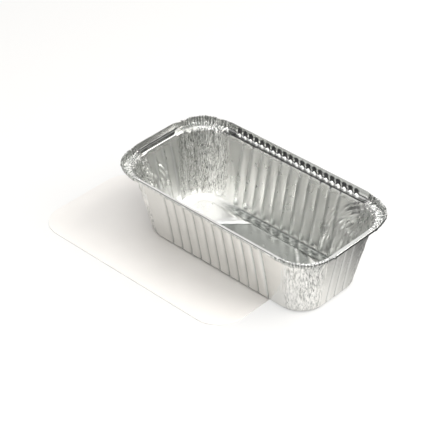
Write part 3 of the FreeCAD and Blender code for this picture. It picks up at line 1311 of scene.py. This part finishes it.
    def rim_tones(self) -> np.ndarray:
        """Painted shade of the hem's outside, its ends, the far hem and between the gussets.

        Returns:
            The shares of painted shade.
        """
        tray, shares, x, y, above = self.tray, self.shares, self.x, self.y, self.above
        out_y = np.abs(y) - tray.half_width
        out = np.maximum(out_y, np.abs(x) - tray.half_length)
        # painted shade: dark lines on the hem's outside, broken into dashes on the near sides
        under = shares.hem * ((out > 6.8) & (above < 2.75) & (above > 2))
        dashes = np.clip(0.8 + 0.9 * Crumple(Seed.DASHES).at(x / 1.8 + 60, y / 1.8 + 60), 0, 1)
        near = (y < 0) | (x > tray.half_length)
        line = dashes * (near & (out > 6.8) & (np.abs(above - 3.6) < 0.2))
        past_x = np.abs(np.abs(x) - tray.ledge_run - 0.3)
        past_y = np.abs(np.abs(y) - tray.half_width + tray.opening_radius - 0.3)
        # painted shade across the hem's ends
        ends = shares.hem_end * (out > 6.3) * ramp(np.minimum(past_x, past_y), 0.9, 0.4)
        # painted shade on the far hem
        far = shares.far_hem * ((out_y > 5.6) & (above > 2) & (y > 0))
        gusset = bell(off_beat(x, tray.gusset_pitch) * tray.gusset_pitch, 0, 1.5)
        bend = ~self.inner & (out_y > 3) & (above > -0.9) & (above < 2) & (np.abs(x) < tray.gusset_reach)
        # painted shade between the gussets below the ledge
        between = shares.bend * bend * (1 - gusset) ** 2 * ramp(np.abs(x), 62, 44)
        return np.maximum.reduce([under, line, ends, far, between])

    def store(self) -> None:
        """Stores the marks on the mesh."""
        walls, ledge = self.gathered()
        crimp_shade = np.zeros(len(self.x))
        self.mesh.attributes["crimp_shade"].data.foreach_get("value", crimp_shade)
        floor_deep, floor_bright = self.floor_tones()
        wall_deep, wall_bright = self.wall_tones(walls)
        # the shade and highlight marks are painted shade and painted highlights for the foil's colour
        marks = {
            "gather": np.maximum(walls, ledge),
            "floor": self.haze(walls),
            "shade": np.maximum.reduce([floor_deep, wall_deep, self.rim_tones(), crimp_shade]),
            "painted_highlight_mark": np.maximum(floor_bright, wall_bright),
        }
        for name, value in marks.items():
            layer = self.mesh.attributes.new(name, "FLOAT", "POINT")
            layer.data.foreach_set("value", value.astype(np.float32))


@dataclass
class BoardLid:
    """The board lid that lies under the tray. Lengths are in millimetres."""

    corner: float = 23.0
    corner_segments: int = 24
    eased_edge: float = 0.12
    edge_segments: int = 2
    edge_angle: float = 60.0
    crease_angle: float = 35.0
    finish: BoardFinish = field(default_factory=BoardFinish)

    def build(self) -> bpy.types.Object:
        """Cuts the board: a rectangle with round corners and slightly eased edges.

        Returns:
            The finished lid.
        """
        low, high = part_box("board_lid")
        clear_selection()
        bpy.ops.mesh.primitive_plane_add(size=1.0)
        lid = bpy.context.object
        lid.name = lid.data.name = "lid_board"
        bpy.ops.object.mode_set(mode="EDIT")
        bpy.ops.mesh.select_all(action="SELECT")
        bpy.ops.transform.resize(value=(high.x - low.x, high.y - low.y, 1))
        bpy.ops.transform.translate(value=((low.x + high.x) / 2, (low.y + high.y) / 2, low.z))
        bpy.ops.mesh.bevel(offset=self.corner * MM, segments=self.corner_segments, affect="VERTICES")
        bpy.ops.mesh.select_all(action="SELECT")
        bpy.ops.mesh.extrude_region_move(TRANSFORM_OT_translate={"value": (0, 0, high.z - low.z)})
        bpy.ops.mesh.select_all(action="SELECT")
        bpy.ops.mesh.normals_make_consistent(inside=False)
        bpy.ops.object.mode_set(mode="OBJECT")
        edge = lid.modifiers.new("eased_edges", "BEVEL")
        edge.width = self.eased_edge * MM
        edge.segments = self.edge_segments
        edge.limit_method = "ANGLE"
        edge.angle_limit = math.radians(self.edge_angle)
        bpy.ops.object.modifier_apply(modifier=edge.name)
        bpy.ops.object.shade_smooth_by_angle(angle=math.radians(self.crease_angle))
        lid.data.materials.clear()
        lid.data.materials.append(self.finish.material())
        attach(lid, BODY)
        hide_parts("board_lid")
        log.info("board lid: %d faces", len(lid.data.polygons))
        return lid


@dataclass
class Lamp:
    """One soft square lamp that faces the tray."""

    name: str
    azimuth: float
    elevation: float
    distance: float
    width: float
    power: float
    colour: Three = (1.0, 1.0, 1.0)

    def build(self, aim: Vector) -> bpy.types.Object:
        """Hangs the lamp.

        Args:
            aim: the point that it faces.

        Returns:
            The lamp's object.
        """
        data = bpy.data.lights.new(self.name, "AREA")
        data.shape = "SQUARE"
        data.size = self.width
        data.energy = self.power
        data.color = self.colour
        lamp = bpy.data.objects.new(self.name, data)
        bpy.context.scene.collection.objects.link(lamp)
        azimuth, elevation = math.radians(self.azimuth), math.radians(self.elevation)
        away = Vector((
            math.cos(azimuth) * math.cos(elevation),
            math.sin(azimuth) * math.cos(elevation),
            math.sin(elevation),
        ))
        lamp.location = aim + away * self.distance
        lamp.rotation_euler = away.to_track_quat("Z", "Y").to_euler()
        log.info("lamp %s", self.name)
        return lamp


@dataclass
class Studio:
    """The white table, the lamps and the room's light. Lengths are in metres."""

    table_width: float = 12.0
    table: TableFinish = field(default_factory=TableFinish)
    lamps: tuple[Lamp, ...] = (
        Lamp("key", 29, 47, 1.2, 0.96, 14.8, (1.0, 0.985, 0.96)),
        Lamp("fill", -50, 50, 1.3, 1.1, 9.8, (1.0, 0.99, 0.97)),
    )
    aim: Three = (0.02, 0.015, 0.03)
    room_back: float = 1.0
    room_top: float = 1.5
    room_front: float = 0.05
    back_way: Three = (-0.69, 0.72, 0)
    back_reach: tuple[float, float] = (0.45, 0.72)
    top_reach: tuple[float, float] = (0.8, 0.93)

    def build(self) -> None:
        """Lays the table, hangs the lamps and sets the world and the view."""
        clear_selection()
        bpy.ops.mesh.primitive_plane_add(size=self.table_width)
        table = bpy.context.object
        table.name = "white_table"
        table.data.materials.append(self.table.material())
        for lamp in self.lamps:
            lamp.build(Vector(self.aim))
        self.world()
        bpy.context.scene.view_settings.view_transform = "Standard"

    def world(self) -> None:
        """A room that is white behind the tray and darker on the side of the camera."""
        world = bpy.data.worlds.new("room")
        world.use_nodes = True
        bpy.context.scene.world = world
        world.node_tree.nodes.clear()
        nodes = Nodes(world.node_tree)
        view = nodes.add("ShaderNodeTexCoord").outputs["Generated"]
        facing = nodes.add("ShaderNodeVectorMath", operation="DOT_PRODUCT")
        facing.inputs[1].default_value = self.back_way
        nodes.link(view, facing.inputs[0])
        parts = nodes.add("ShaderNodeSeparateXYZ")
        nodes.link(view, parts.inputs["Vector"])
        lights = [
            nodes.remap(value, reach, self.room_front, light, "SMOOTHSTEP")
            for value, reach, light in (
                (facing.outputs["Value"], self.back_reach, self.room_back),
                (parts.outputs["Z"], self.top_reach, self.room_top),
            )
        ]
        room = nodes.backdrop(nodes.work_out("MAXIMUM", *lights))
        camera = nodes.add("ShaderNodeLightPath").outputs["Is Camera Ray"]
        output = nodes.add("ShaderNodeOutputWorld")
        nodes.link(nodes.either(camera, room, nodes.backdrop(1.0)), output.inputs["Surface"])
        log.info("room light")


@dataclass
class PhotoCamera:
    """The camera at the photograph's angle. Angles in degrees, lengths in millimetres."""

    azimuth: float = 43.60
    elevation: float = 36.59
    distance: float = 1210.4
    roll: float = -0.42
    across: float = -23.23
    up: float = 3.63
    focal_pixels: float = 1630.8
    aim: Three = (23.05, 16.225, 25.6)

    def build(self) -> bpy.types.Object:
        """Places the camera.

        Returns:
            The camera's object.
        """
        azimuth, elevation, roll = (math.radians(v) for v in (self.azimuth, self.elevation, self.roll))
        back = Vector((
            math.sin(azimuth) * math.cos(elevation),
            -math.cos(azimuth) * math.cos(elevation),
            math.sin(elevation),
        ))
        level = Vector((math.cos(azimuth), math.sin(azimuth), 0))
        steep = back.cross(level)
        right = level * math.cos(roll) + steep * math.sin(roll)
        top = steep * math.cos(roll) - level * math.sin(roll)
        data = bpy.data.cameras.new("photo_camera")
        data.sensor_width = SENSOR
        data.lens = self.focal_pixels * SENSOR / IMAGE_SIDE
        camera = bpy.data.objects.new("photo_camera", data)
        bpy.context.scene.collection.objects.link(camera)
        place = (Vector(self.aim) + back * self.distance + right * self.across + top * self.up) * MM
        turn = Matrix((right, top, back)).transposed().to_4x4()
        camera.matrix_world = Matrix.Translation(place) @ turn
        bpy.context.scene.camera = camera
        log.info("camera")
        return camera


def main() -> None:
    """Builds the camera, the pieces and the studio."""
    logging.basicConfig(level=logging.INFO, format="%(name)s: %(message)s")
    PhotoCamera().build()
    PressedTray().build()
    BoardLid().build()
    Studio().build()


if __name__ == "__main__":
    main()
